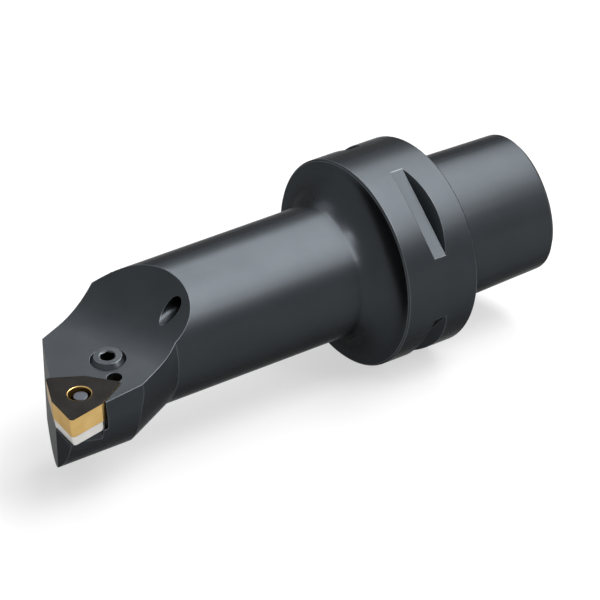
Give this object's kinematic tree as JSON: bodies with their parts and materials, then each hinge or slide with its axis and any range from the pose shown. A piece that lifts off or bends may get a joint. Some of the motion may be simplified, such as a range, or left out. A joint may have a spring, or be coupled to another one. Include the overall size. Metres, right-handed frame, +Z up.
{
  "type": "boring bar",
  "caption": "Right-hand boring bar with a tapered polygon shank, a grooved flange and a trigon insert clamped by a lever.",
  "frame": {"origin": "centre of the flange's contact face, on the axis of shank and bar", "axes": "+X along the bar towards the cutting head, +Y towards the side that cuts, +Z up from the insert's top"},
  "size_m": [0.14, 0.05, 0.05],
  "materials": {
    "black_oxide_steel": "black oxide, satin",
    "coated_carbide": "dark coating on top, gold coating on the sides",
    "ground_carbide": "ground, bright",
    "spring_steel": "hardened, bright",
    "screw_steel": "black oxide, satin, bright top ring"
  },
  "bodies": {
    "bar": {"bar_body": "black_oxide_steel", "insert": "coated_carbide", "shim": "ground_carbide", "shim_pin": "spring_steel"},
    "clamp_lever": {"lever": "spring_steel"},
    "clamp_screw": {"lever_screw": "screw_steel"}
  },
  "joints": [
    {"name": "screw_travel", "type": "slide", "parent": "bar", "child": "clamp_screw", "axis": [0.104, 0.1045, 0.9891], "range_m": [0, 0.001]},
    {"name": "lever_tilt", "type": "hinge", "parent": "bar", "child": "clamp_lever", "pos_m": [0.10179, 0.01384, -0.00925], "axis": [-0.4765, 0.8781, -0.0427], "range_deg": [0, 5]}
  ],
  "couplings": [
    {"joint": "lever_tilt", "follows": "screw_travel", "rad_per_m": 75}
  ]
}
